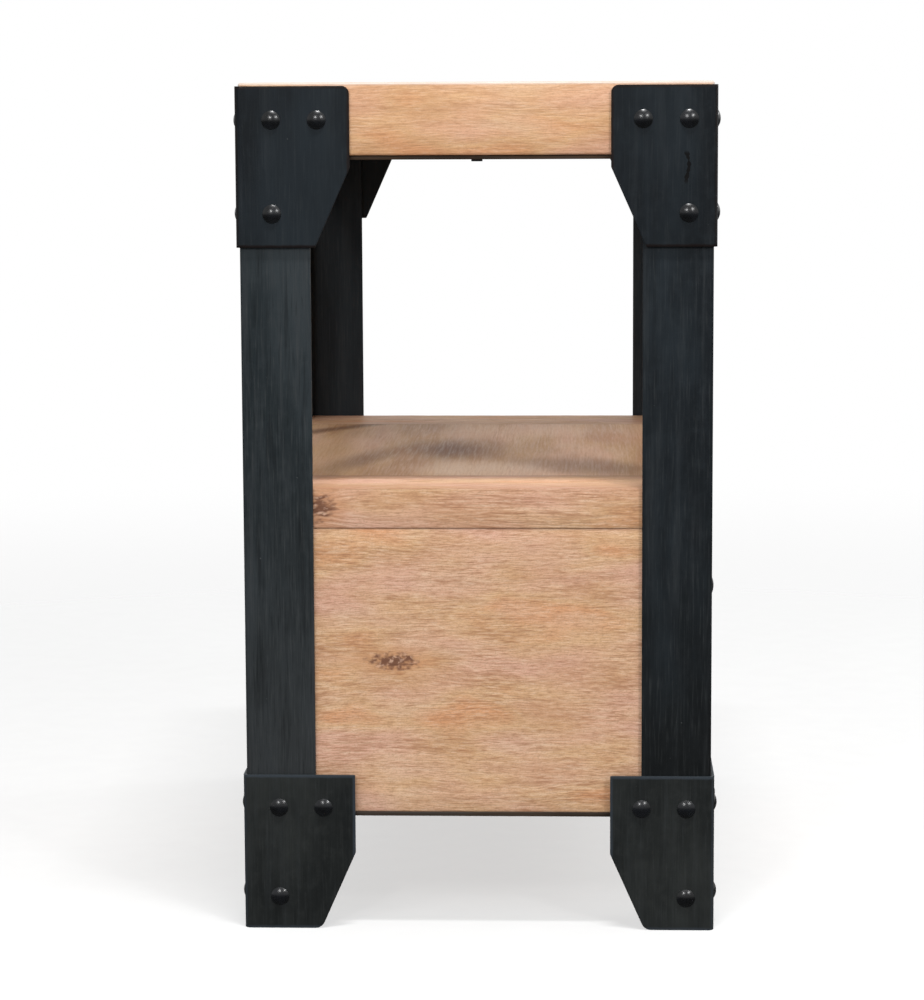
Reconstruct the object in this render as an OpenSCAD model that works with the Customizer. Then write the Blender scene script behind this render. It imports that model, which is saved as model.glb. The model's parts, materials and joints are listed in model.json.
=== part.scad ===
// Side table with one drawer: wooden boards in a riveted angle-steel frame.
// +Z is up, X runs along the table, and the drawer opens towards -Y.
// The origin is on the floor, under the centre of the tabletop. "Left" is -X and "front" is -Y.

/* [Table] */
// Height from the floor to the surface of the tabletop
table_h = 500; // [450:5:600]
// Length of the tabletop, along X
table_l = 420; // [400:5:520]
// Depth of the tabletop, along Y
table_d = 275; // [265:5:290]
// Thickness of the tabletop
top_t = 42; // [40:1:50]
// Width of the cross strips that close the ends of the tabletop and the shelf
end_strip_w = 60; // [52:1:62]

/* [Drawer box] */
// Height of the shelf surface that closes the box at its top
shelf_h = 264; // [255:1:280]
// Thickness of the shelf and of the bottom board
board_t = 24; // [24:1:28]
// Radius of the rounded upper edges at the ends of the shelf
shelf_edge_r = 1; // [0.5:0.5:6]
// Height of the underside of the box above the floor
floor_gap = 70; // [66:1:72]
// Thickness of the two end panels
end_panel_t = 20; // [20:1:24]
// Thickness of the back panel
back_panel_t = 12; // [8:1:14]
// How far the back panel stands in from the back edge of the box
back_panel_inset = 4; // [3:1:6]
// Depth of the grooves that hold the back panel
panel_groove = 6; // [4:1:8]

/* [Steel frame] */
// Width of each flange of the angle-steel legs
leg_flange = 41; // [38:1:41]
// Thickness of the angle steel
leg_t = 3; // [2:0.5:3]
// Outer corner radius of the angle steel
corner_r = 1.5; // [1:0.5:2.5]
// How far the legs stop above the floor, inside the foot brackets
leg_gap = 5; // [0:1:8]
// Width of the flat straps under the tabletop and under the box
strap_w = 30; // [20:1:35]
// Thickness of the straps
strap_t = 2.5; // [1.5:0.5:3]

/* [Corner brackets] */
// Height of a bracket
bracket_h = 93; // [90:1:96]
// Thickness of the bent plate
plate_t = 2; // [1.5:0.5:3]
// Width of the wide flange, over the bend
wide_flange = 66.5; // [64:0.5:70]
// Width of the narrow flange, over the bend
narrow_flange = 61.5; // [58:0.5:64]
// Height over which the inner edge is upright
upright_h = 47; // [40:1:55]
// How far the inner edge slants in below the upright part
slant_run = 20.5; // [15:0.5:24]
// Radius of a top bracket's free upper corners
top_free_r = 4.4; // [0.6:0.2:6]
// Radius of a foot bracket's free upper corners
foot_free_r = 0.8; // [0.6:0.2:6]
// Radius of the corner where a top bracket's slanted edge meets its lower edge
top_slant_r = 1; // [0.5:0.5:7]
// Radius of the same corner of a foot bracket
foot_slant_r = 6; // [0.5:0.5:7]
// How far a top bracket stands below the surface of the tabletop
bracket_drop = 2; // [0:0.5:5]

/* [Bracket fixings] */
// Diameter of the domed heads
dome_d = 10.8; // [8:0.2:12]
// Height of the domed heads
dome_h = 2.2; // [2:0.2:5]
// Diameter of the shanks
shank_d = 5; // [3:0.5:5]
// Length of the nails that go into wood, under the head
nail_l = 17; // [14:0.5:17]
// First fixing to the outer edge of a wide flange
wide_edge = 21.2; // [20:0.2:22]
// First fixing to the outer edge of a narrow flange
narrow_edge = 16.6; // [16:0.2:18]
// Distance between the two fixings of the upper row
fixing_pitch = 26.4; // [24:0.2:28]
// Distance from a row of fixings to the top or bottom edge of the bracket
fixing_inset = 19.5; // [18:0.5:21]

/* [Drawer] */
// Clear gap around the drawer front
drawer_gap = 2; // [1.5:0.5:3]
// How far the drawer front stands in from the face of the legs
front_recess = 12; // [10:1:13]
// Thickness of the drawer front
front_t = 18; // [16:1:20]
// Thickness of the drawer sides and back
side_t = 12; // [12:1:14]
// Height of the drawer sides
side_h = 110; // [95:1:120]
// Length of the drawer sides, and of the slides
side_l = 220; // [200:1:220]
// Thickness of the drawer's bottom sheet
sheet_t = 5; // [3:1:6]
// Height of the knob above the middle of the drawer front
knob_rise = 7; // [0:1:12]
// Largest diameter of the knob
knob_d = 25; // [22:0.5:26]
// How far the knob stands out from the drawer front
knob_l = 21.2; // [20:0.2:26]

/* [Slides] */
// Height of a ball-bearing slide
slide_h = 27; // [27:1:35]
// Thickness of a slide, from the packer to the drawer
slide_w = 10; // [10:0.5:12]
// Thickness of the slide's sheet steel
slide_sheet = 1.2; // [1:0.1:1.2]
// How far the drawer travels
drawer_travel = 150; // [100:5:150]
// Diameter of the balls
ball_d = 3.3; // [3:0.1:3.5]
// Balls in each of the two rows of a slide
balls_per_row = 5; // [3:1:6]

/* [Hidden] */
$fn = 48;
over = 1;                                         // how far cutters run past a face
wood_colour = [0.80, 0.62, 0.47];
dowel_colour = [0.87, 0.75, 0.55];
ply_colour = [0.85, 0.72, 0.55];
steel_colour = [0.14, 0.16, 0.17];
zinc_colour = [0.72, 0.73, 0.75];

half_l = table_l / 2;
half_d = table_d / 2;
leg_h = table_h - top_t;
board_x = half_l - leg_t;                         // half length of the boards between the legs
board_y = half_d - leg_t;                         // half depth of the boards between the legs
shelf_z = shelf_h - board_t;
panel_x = board_x - end_panel_t;                  // inner face of an end panel
bottom_z = floor_gap + board_t;                   // upper face of the bottom board
back_y = board_y - back_panel_inset - back_panel_t;
top_bracket_z = table_h - bracket_drop - bracket_h;
top_strap_z = leg_h - strap_t;
bottom_strap_z = floor_gap - strap_t;

tongue_l = 15;
tongue_t = 8;
tongue_inset = 35;                                // tongues to the front and back edges of the boards

dowel_r = 4;
dowel_inset = 40;                                 // dowels to the front and back edges of the boards
dowel_in_panel = 12;
dowel_in_board = 28;
shelf_dowel_half = 15;

strap_screw_r = 2;
strap_screw_head_r = 3.3;
strap_screw_head_h = 1.4;
strap_screw_grip = 14;                            // length of thread in the wood
strap_screw_x = half_l / 2;

packer_x = half_l - leg_flange - 0.5;             // inner face of the slide packers
packer_h = 40;
packer_screw_y = 60;
packer_screw_l = 30;
packer_screw_r = 2;
slide_screw_r = 1.75;
slide_screw_y = [-90, 0, 90];
channel_screw_l = 14;
rail_screw_l = 10;

front_half_w = half_l - leg_flange - drawer_gap;
front_z = bottom_z + drawer_gap;
front_h = shelf_z - bottom_z - 2 * drawer_gap;
front_y = -half_d + front_recess;                 // face of the drawer front
front_back_y = front_y + front_t;
side_x = packer_x - slide_w;                      // outer face of a drawer side
side_z = bottom_z + 7;
side_end_y = front_back_y + side_l;
sheet_z = side_z + 5;
groove_d = 6;
drawer_dowel_r = 3;
drawer_dowel_heights = [24, 89];                  // above the lower edge of a drawer side
knob_z = front_z + front_h / 2 + knob_rise;
knob_dome_r = 13.3;
knob_neck_r = 5.5;
knob_screw_r = 2;
knob_screw_grip = 10;

slide_z = side_z + 49;                            // middle of the slides
slide_y = front_back_y + 1;                       // front end of the slides
channel_lip = slide_w - 1.5;
rail_lip = slide_w - 2.5;
rail_h = slide_h - 10;
race_gap = (slide_h - rail_h) / 2 - slide_sheet;  // between the rail and the channel, for the balls
ball_offset = rail_h / 2 + race_gap / 2;          // row of balls to the middle of the slide
cage_sheet = 0.5;
cage_x = slide_sheet + 0.4;
cage_lip = slide_w - 3.3;
cage_l = side_l - drawer_travel - 2;
cage_y = slide_y + 1 + drawer_travel / 2;         // front end of a cage when the drawer is shut
ball_x = (rail_lip + slide_w - channel_lip + 2) / 2;
ball_pitch = cage_l / (balls_per_row + 0.2);

// ---- Helpers ----

function unit(v) = v / norm(v);

// Points of a rounded corner at b, on the way from a to c
function rounded(a, b, c, r, steps = 6) =
    let (
        to_a = unit(a - b),
        to_c = unit(c - b),
        half_angle = acos(to_a * to_c) / 2,
        centre = b + unit(to_a + to_c) * r / sin(half_angle),
        start = b + to_a * r / tan(half_angle) - centre,
        end = b + to_c * r / tan(half_angle) - centre
    )
    [for (i = [0:steps]) centre + r * unit(start + (end - start) * i / steps)];

// A box given by two opposite corners
module box(low, high) {
    translate(low) cube(high - low);
}

// The sliver between a square corner and a round one, for cutting or filling
module corner_fill(r, h) {
    difference() {
        cube([r, r, h]);
        translate([r, r, -over]) cylinder(r = r, h = h + 2 * over);
    }
}

// Moves the front left corner of the table to the corner with these signs
module at_corner(sx, sy) {
    mirror([sx > 0 ? 1 : 0, 0, 0])
    mirror([0, sy > 0 ? 1 : 0, 0])
    translate([-half_l, -half_d, 0])
    children();
}

module at_corners() {
    for (sx = [-1, 1], sy = [-1, 1]) at_corner(sx, sy) children();
}

// What is drawn on the left, put on the side with this sign
module on_side(sx) {
    mirror([sx > 0 ? 1 : 0, 0, 0]) children();
}

module on_both_sides() {
    for (sx = [-1, 1]) on_side(sx) children();
}

// A screw with a flat countersunk head, its head's face at z = 0, pointing down
module countersunk_screw(r, l) {
    union() {
        translate([0, 0, -r]) cylinder(r1 = r, r2 = 2 * r, h = r);
        translate([0, 0, -l]) cylinder(r = r, h = l);
    }
}

// ---- Corner brackets, nails and rivets ----

// The front corners turn their wide flange to the front, and the back corners to the ends
function is_wide(along_x, sy) = along_x == (sy < 0);
function flange_width(along_x, sy) = is_wide(along_x, sy) ? wide_flange : narrow_flange;
function edge_distance(along_x, sy) = is_wide(along_x, sy) ? wide_edge : narrow_edge;

// Outline of one flange: x from the bend to the free edge, y up
module flange_outline(w, free_r, slant_r) {
    foot = [w - slant_run, 0];
    knee = [w, bracket_h - upright_h];
    tip = [w, bracket_h];
    polygon(concat(
        [[0, 0]],
        rounded([0, 0], foot, knee, slant_r),
        [knee],
        rounded(knee, tip, [0, bracket_h], free_r),
        [[0, bracket_h]]
    ));
}

// Frame of one flange at a corner: x along the flange, y up, z out of its outer face
module on_flange(along_x) {
    mirror(along_x ? [0, 0, 0] : [1, -1, 0])
    translate([-plate_t, -plate_t, 0])
    rotate([90, 0, 0])
    children();
}

// The upper row of fixings, two on each flange
module upper_fixings(sy) {
    for (along_x = [true, false], step = [0, 1])
        on_flange(along_x)
        translate([edge_distance(along_x, sy) + step * fixing_pitch, bracket_h - fixing_inset, 0])
        children();
}

// The lower fixings, one on each flange
module lower_fixings(sy) {
    for (along_x = [true, false])
        on_flange(along_x)
        translate([edge_distance(along_x, sy), fixing_inset, 0])
        children();
}

module shank(l) {
    translate([0, 0, -l]) cylinder(d = shank_d, h = l);
}

module dome() {
    ball_r = (pow(dome_d / 2, 2) + pow(dome_h, 2)) / (2 * dome_h);
    intersection() {
        translate([0, 0, dome_h - ball_r]) sphere(r = ball_r);
        cylinder(d = dome_d + over, h = dome_h + over);
    }
}

module nail() {
    dome();
    shank(nail_l);
}

// A rivet through plate and leg, closed by a flat tail inside the leg
module rivet() {
    dome();
    shank(plate_t + leg_t);
    translate([0, 0, -plate_t - leg_t - 2]) cylinder(d = 8, h = 2);
}

// Holes for the nails of both brackets at one corner
module nail_holes(sy) {
    for (z = [0, top_bracket_z])
        translate([0, 0, z]) upper_fixings(sy) shank(nail_l);
}

module nail_holes_at_corners() {
    for (sx = [-1, 1], sy = [-1, 1]) at_corner(sx, sy) nail_holes(sy);
}

module rivet_holes(sy) {
    for (z = [0, top_bracket_z])
        translate([0, 0, z]) lower_fixings(sy) shank(plate_t + leg_t);
}

module bracket(sx, sy, z) {
    free_r = z > 0 ? top_free_r : foot_free_r;
    slant_r = z > 0 ? top_slant_r : foot_slant_r;
    color(steel_colour) at_corner(sx, sy)
    difference() {
        translate([0, 0, z]) union() {
            for (along_x = [true, false])
                on_flange(along_x)
                translate([0, 0, -plate_t])
                linear_extrude(plate_t)
                flange_outline(flange_width(along_x, sy), free_r, slant_r);
            corner_fill(corner_r, bracket_h);
        }
        translate([-plate_t, -plate_t, z - over]) corner_fill(corner_r + plate_t, bracket_h + 2 * over);
        nail_holes(sy);
        rivet_holes(sy);
    }
}

module top_bracket_front_left() bracket(-1, -1, top_bracket_z);
module top_bracket_front_right() bracket(1, -1, top_bracket_z);
module top_bracket_back_left() bracket(-1, 1, top_bracket_z);
module top_bracket_back_right() bracket(1, 1, top_bracket_z);
module foot_bracket_front_left() bracket(-1, -1, 0);
module foot_bracket_front_right() bracket(1, -1, 0);
module foot_bracket_back_left() bracket(-1, 1, 0);
module foot_bracket_back_right() bracket(1, 1, 0);

module bracket_nails() {
    color(steel_colour)
    for (sx = [-1, 1], sy = [-1, 1], z = [0, top_bracket_z])
        at_corner(sx, sy) translate([0, 0, z]) upper_fixings(sy) nail();
}

module bracket_rivets() {
    color(steel_colour)
    for (sx = [-1, 1], sy = [-1, 1], z = [0, top_bracket_z])
        at_corner(sx, sy) translate([0, 0, z]) lower_fixings(sy) rivet();
}

// ---- Angle-steel legs and flat straps ----

module leg(sx, sy) {
    color(steel_colour) at_corner(sx, sy)
    difference() {
        translate([0, 0, leg_gap]) cube([leg_flange, leg_flange, leg_h - leg_gap]);
        translate([leg_t, leg_t, -over]) cube([leg_flange, leg_flange, leg_h + 2 * over]);
        translate([0, 0, -over]) corner_fill(corner_r, leg_h + 2 * over);
        nail_holes(sy);
        rivet_holes(sy);
    }
}

module leg_front_left() leg(-1, -1);
module leg_front_right() leg(1, -1);
module leg_back_left() leg(-1, 1);
module leg_back_right() leg(1, 1);

// Screws up through the four straps of one ring, whose underside is at z
module strap_screws(z) {
    places = [
        for (sx = [-1, 1]) [sx * (board_x - strap_w / 2), 0],
        for (sx = [-1, 1], sy = [-1, 1]) [sx * strap_screw_x, sy * (board_y - strap_w / 2)]
    ];
    for (place = places)
        translate([place.x, place.y, z]) {
            translate([0, 0, -strap_screw_head_h]) cylinder(r = strap_screw_head_r, h = strap_screw_head_h);
            cylinder(r = strap_screw_r, h = strap_t + strap_screw_grip);
        }
}

// A strap across one end, welded between the legs
module end_strap(sx, z) {
    color(steel_colour)
    difference() {
        on_side(sx) box([-board_x, -board_y, z], [-board_x + strap_w, board_y, z + strap_t]);
        strap_screws(z);
    }
}

// A strap along the front or the back, welded between the end straps
module side_strap(sy, z) {
    end_x = board_x - strap_w;
    color(steel_colour)
    difference() {
        mirror([0, sy > 0 ? 1 : 0, 0])
        box([-end_x, -board_y, z], [end_x, -board_y + strap_w, z + strap_t]);
        strap_screws(z);
    }
}

module top_strap_left() end_strap(-1, top_strap_z);
module top_strap_right() end_strap(1, top_strap_z);
module top_strap_front() side_strap(-1, top_strap_z);
module top_strap_back() side_strap(1, top_strap_z);
module box_strap_left() end_strap(-1, bottom_strap_z);
module box_strap_right() end_strap(1, bottom_strap_z);
module box_strap_front() side_strap(-1, bottom_strap_z);
module box_strap_back() side_strap(1, bottom_strap_z);

module tabletop_screws() color(steel_colour) strap_screws(top_strap_z);
module box_screws() color(steel_colour) strap_screws(bottom_strap_z);

// ---- Boards of the table ----

// Dowels between the end panels, the bottom board and the shelf
module box_dowels() {
    dowel_y = board_y - dowel_inset;
    dowel_l = dowel_in_panel + dowel_in_board;
    color(dowel_colour)
    on_both_sides()
    for (y = [-dowel_y, dowel_y]) {
        translate([-panel_x - dowel_in_panel, y, floor_gap + board_t / 2])
            rotate([0, 90, 0]) cylinder(r = dowel_r, h = dowel_l);
        translate([-panel_x - end_panel_t / 2, y, shelf_z - shelf_dowel_half])
            cylinder(r = dowel_r, h = 2 * shelf_dowel_half);
    }
}

// The tongues that enter both end strips of a board, whose middle ends at joint_x
module tongues(joint_x, mid_z) {
    x = joint_x + tongue_l;
    y = board_y - tongue_inset;
    box([-x, -y, mid_z - tongue_t / 2], [x, y, mid_z + tongue_t / 2]);
}

// The middle of a board from z up, between its end strips
module middle_board(joint_x, half_y, z, t) {
    box([-joint_x, -half_y, z], [joint_x, half_y, z + t]);
    tongues(joint_x, z + t / 2);
}

// A strip across the end of a board, with a groove for the tongue
module end_strip(sx, end_x, half_y, z, t) {
    joint_x = end_x - end_strip_w;
    difference() {
        on_side(sx) box([-end_x, -half_y, z], [-joint_x, half_y, z + t]);
        tongues(joint_x, z + t / 2);
    }
}

module tabletop() {
    color(wood_colour)
    difference() {
        middle_board(half_l - end_strip_w, half_d, leg_h, top_t);
        strap_screws(top_strap_z);
    }
}

module tabletop_end(sx) {
    color(wood_colour)
    difference() {
        end_strip(sx, half_l, half_d, leg_h, top_t);
        at_corners() translate([0, 0, leg_h - over]) corner_fill(corner_r, top_t + 2 * over);
        nail_holes_at_corners();
        strap_screws(top_strap_z);
    }
}

module tabletop_end_left() tabletop_end(-1);
module tabletop_end_right() tabletop_end(1);

module shelf() color(wood_colour) middle_board(board_x - end_strip_w, board_y, shelf_z, board_t);

module shelf_end(sx) {
    color(wood_colour)
    difference() {
        end_strip(sx, board_x, board_y, shelf_z, board_t);
        on_both_sides()
            translate([-board_x, -board_y - over, shelf_h])
            rotate([-90, 0, 0])
            corner_fill(shelf_edge_r, 2 * (board_y + over));
        box_dowels();
    }
}

module shelf_end_left() shelf_end(-1);
module shelf_end_right() shelf_end(1);

module end_panel(sx) {
    color(wood_colour)
    difference() {
        on_side(sx) box([-board_x, -board_y, floor_gap], [-panel_x, board_y, shelf_z]);
        back_panel();
        box_dowels();
        packer_screws();
        nail_holes_at_corners();
        strap_screws(bottom_strap_z);
    }
}

module end_panel_left() end_panel(-1);
module end_panel_right() end_panel(1);

module bottom_board() {
    color(wood_colour)
    difference() {
        box([-panel_x, -board_y, floor_gap], [panel_x, board_y, bottom_z]);
        box_dowels();
        nail_holes_at_corners();
        strap_screws(bottom_strap_z);
    }
}

// The back panel stands on the bottom board, in a groove in each end panel
module back_panel() {
    end_x = panel_x + panel_groove;
    color(wood_colour) box([-end_x, back_y, bottom_z], [end_x, back_y + back_panel_t, shelf_z]);
}

// ---- Ball-bearing slides ----

module c_section(depth, height, sheet) {
    difference() {
        translate([0, -height / 2]) square([depth, height]);
        translate([sheet, -height / 2 + sheet]) square([depth, height - 2 * sheet]);
    }
}

// Extrudes a slide section back from y: its x runs from the left packer towards the drawer, its y is up
module along_slide(y, l) {
    translate([-packer_x, y + l, slide_z])
    rotate([90, 0, 0])
    linear_extrude(l)
    children();
}

// Packing pieces that bring the slides in line with the opening between the legs
module packer(sx) {
    color(wood_colour)
    difference() {
        on_side(sx)
        box([-panel_x, slide_y, slide_z - packer_h / 2], [-packer_x, back_y, slide_z + packer_h / 2]);
        packer_screws();
        slide_channel_screws();
    }
}

module packer_left() packer(-1);
module packer_right() packer(1);

module packer_screws() {
    color(zinc_colour)
    on_both_sides()
    for (y = [-packer_screw_y, packer_screw_y])
        translate([-packer_x, y, slide_z])
        rotate([0, 90, 0])
        countersunk_screw(packer_screw_r, packer_screw_l);
}

module slide_channel(sx) {
    color(zinc_colour)
    difference() {
        on_side(sx) along_slide(slide_y, side_l) c_section(channel_lip, slide_h, slide_sheet);
        slide_channel_screws();
    }
}

module slide_channel_left() slide_channel(-1);
module slide_channel_right() slide_channel(1);

module slide_channel_screws() {
    color(zinc_colour)
    on_both_sides()
    for (y = slide_screw_y)
        translate([-packer_x + slide_sheet, y, slide_z])
        rotate([0, 90, 0])
        countersunk_screw(slide_screw_r, channel_screw_l);
}

module slide_rail(sx) {
    color(zinc_colour)
    difference() {
        on_side(sx)
        along_slide(slide_y, side_l)
        translate([slide_w, 0])
        mirror([1, 0])
        c_section(rail_lip, rail_h, slide_sheet);
        slide_rail_screws();
    }
}

module slide_rail_left() slide_rail(-1);
module slide_rail_right() slide_rail(1);

module slide_rail_screws() {
    color(zinc_colour)
    on_both_sides()
    for (y = slide_screw_y)
        translate([-side_x - slide_sheet, y, slide_z])
        rotate([0, -90, 0])
        countersunk_screw(slide_screw_r, rail_screw_l);
}

// Runs its children at the centre of every ball of the left slide
module at_balls() {
    first_y = cage_y + (cage_l - (balls_per_row - 1) * ball_pitch) / 2;
    for (i = [0:balls_per_row - 1], row = [-1, 1])
        translate([-packer_x + ball_x, first_y + i * ball_pitch, slide_z + row * ball_offset])
        children();
}

module slide_cage(sx) {
    cage_h = 2 * ball_offset + cage_sheet;
    color(zinc_colour) on_side(sx)
    difference() {
        along_slide(cage_y, cage_l) translate([cage_x, 0]) c_section(cage_lip, cage_h, cage_sheet);
        at_balls() cylinder(d = ball_d + 0.1, h = 2, center = true);
    }
}

module slide_cage_left() slide_cage(-1);
module slide_cage_right() slide_cage(1);

module slide_balls(sx) {
    color(zinc_colour) on_side(sx) at_balls() sphere(d = ball_d);
}

module slide_balls_left() slide_balls(-1);
module slide_balls_right() slide_balls(1);

// ---- Drawer ----

module drawer_bottom() {
    edge_x = side_x - side_t + groove_d;
    color(ply_colour)
    box([-edge_x, front_back_y - groove_d, sheet_z], [edge_x, side_end_y, sheet_z + sheet_t]);
}

// Dowels from the sides into the front, and from the back into the sides
module drawer_dowels() {
    color(dowel_colour)
    on_both_sides()
    for (h = drawer_dowel_heights) {
        translate([-side_x + side_t / 2, front_back_y - 8, side_z + h])
            rotate([-90, 0, 0]) cylinder(r = drawer_dowel_r, h = 28);
        translate([-side_x + side_t - 7, side_end_y - side_t / 2, side_z + h])
            rotate([0, 90, 0]) cylinder(r = drawer_dowel_r, h = 25);
    }
}

module drawer_front() {
    color(wood_colour)
    difference() {
        box([-front_half_w, front_y, front_z], [front_half_w, front_back_y, front_z + front_h]);
        drawer_bottom();
        drawer_dowels();
        knob_screw();
    }
}

module drawer_side(sx) {
    color(wood_colour)
    difference() {
        on_side(sx) box([-side_x, front_back_y, side_z], [-side_x + side_t, side_end_y, side_z + side_h]);
        drawer_bottom();
        drawer_dowels();
        slide_rail_screws();
    }
}

module drawer_side_left() drawer_side(-1);
module drawer_side_right() drawer_side(1);

module drawer_back() {
    inner_x = side_x - side_t;
    color(wood_colour)
    difference() {
        box([-inner_x, side_end_y - side_t, sheet_z + sheet_t], [inner_x, side_end_y, side_z + side_h]);
        drawer_dowels();
    }
}

// A mushroom knob on a collar
module knob() {
    collar_l = 2;
    neck_l = 8;
    rim_l = 11;
    color(steel_colour)
    translate([0, front_y, knob_z])
    rotate([90, 0, 0])
    difference() {
        union() {
            cylinder(r = 8, h = collar_l);
            cylinder(r = knob_neck_r, h = rim_l);
            translate([0, 0, neck_l]) cylinder(r1 = knob_neck_r, r2 = knob_d / 2, h = rim_l - neck_l);
            intersection() {
                translate([0, 0, rim_l]) cylinder(d = knob_d, h = knob_l);
                translate([0, 0, knob_l - knob_dome_r]) sphere(r = knob_dome_r);
            }
        }
        translate([0, 0, -over]) cylinder(r = knob_screw_r, h = knob_screw_grip + over);
    }
}

// A machine screw from inside the drawer into the knob
module knob_screw() {
    color(zinc_colour)
    translate([0, front_back_y, knob_z])
    rotate([90, 0, 0]) {
        translate([0, 0, -2.5]) cylinder(r = 4, h = 2.5);
        cylinder(r = knob_screw_r, h = front_t + knob_screw_grip);
    }
}

tabletop();
tabletop_end_left();
tabletop_end_right();
shelf();
shelf_end_left();
shelf_end_right();
end_panel_left();
end_panel_right();
bottom_board();
back_panel();
leg_front_left();
leg_front_right();
leg_back_left();
leg_back_right();
top_bracket_front_left();
top_bracket_front_right();
top_bracket_back_left();
top_bracket_back_right();
foot_bracket_front_left();
foot_bracket_front_right();
foot_bracket_back_left();
foot_bracket_back_right();
bracket_nails();
bracket_rivets();
top_strap_left();
top_strap_right();
top_strap_front();
top_strap_back();
box_strap_left();
box_strap_right();
box_strap_front();
box_strap_back();
tabletop_screws();
box_screws();
box_dowels();
packer_left();
packer_right();
packer_screws();
slide_channel_left();
slide_channel_right();
slide_channel_screws();
slide_cage_left();
slide_cage_right();
slide_balls_left();
slide_balls_right();
slide_rail_left();
slide_rail_right();
slide_rail_screws();
drawer_front();
drawer_side_left();
drawer_side_right();
drawer_back();
drawer_bottom();
drawer_dowels();
knob();
knob_screw();
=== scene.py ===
"""Side table with a drawer: solid wood boards in a frame of charcoal angle steel with nailed brackets."""

import json
import math

import bmesh
import bpy
from mathutils import Matrix, Vector, noise


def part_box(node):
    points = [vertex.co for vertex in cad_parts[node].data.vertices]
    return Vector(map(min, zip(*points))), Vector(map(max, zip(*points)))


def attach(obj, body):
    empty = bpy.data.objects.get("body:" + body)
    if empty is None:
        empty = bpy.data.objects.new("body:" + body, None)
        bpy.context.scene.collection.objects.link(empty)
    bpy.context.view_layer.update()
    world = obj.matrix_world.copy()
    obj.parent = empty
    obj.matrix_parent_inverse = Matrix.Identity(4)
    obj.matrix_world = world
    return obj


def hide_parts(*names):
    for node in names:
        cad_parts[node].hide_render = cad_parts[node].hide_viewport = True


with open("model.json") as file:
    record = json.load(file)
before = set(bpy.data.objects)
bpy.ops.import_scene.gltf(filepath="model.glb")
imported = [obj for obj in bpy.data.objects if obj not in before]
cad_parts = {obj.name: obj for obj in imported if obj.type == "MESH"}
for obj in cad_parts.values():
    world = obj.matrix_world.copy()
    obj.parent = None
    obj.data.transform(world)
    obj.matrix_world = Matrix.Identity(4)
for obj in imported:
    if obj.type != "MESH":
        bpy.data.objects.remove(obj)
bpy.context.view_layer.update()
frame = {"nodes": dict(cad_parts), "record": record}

# ---- Sizes that the frame's boxes don't give, in metres ----

MM = 0.001
LEG_T = 3 * MM               # thickness of the angle steel
LEG_CORNER = 1.5 * MM        # its outer corner radius
PLATE_T = 2 * MM             # thickness of the bent brackets
SLANT_RUN = 20.5 * MM        # how far a bracket's inner edge slants in
UPRIGHT_H = 47 * MM          # height over which that edge is upright
TOP_FREE_R = 4.4 * MM        # a top bracket's free upper corners
FOOT_FREE_R = 0.8 * MM       # a foot bracket's free upper corners
TOP_SLANT_R = 1 * MM         # a top bracket's corner between slanted and lower edge
FOOT_SLANT_R = 6 * MM        # the same corner of a foot bracket
DOME_R = 5.4 * MM            # head of a nail or rivet
DOME_H = 2.2 * MM
DOME_RIM = 0.35 * MM         # height of its upright rim
SHANK_R = 2.5 * MM
STEEL_ARRIS = 0.35 * MM
WOOD_ARRIS = 0.6 * MM
TABLETOP_ARRIS = 1.5 * MM
JOINT_ARRIS = 0.15 * MM      # edges of boards that meet in a joint
SHELF_EDGE_R = 1 * MM        # rounded upper edge at the shelf's ends
FOOT_EDGE_R = 1.3 * MM       # ground lower edge of the foot brackets


def srgb(red, green, blue):
    """A colour given in 0-255 screen values, as linear light."""
    linear = []
    for value in (red, green, blue):
        c = value / 255
        linear.append(c / 12.92 if c <= 0.04045 else ((c + 0.055) / 1.055) ** 2.4)
    return (*linear, 1.0)


# ---- Node trees ----

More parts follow.
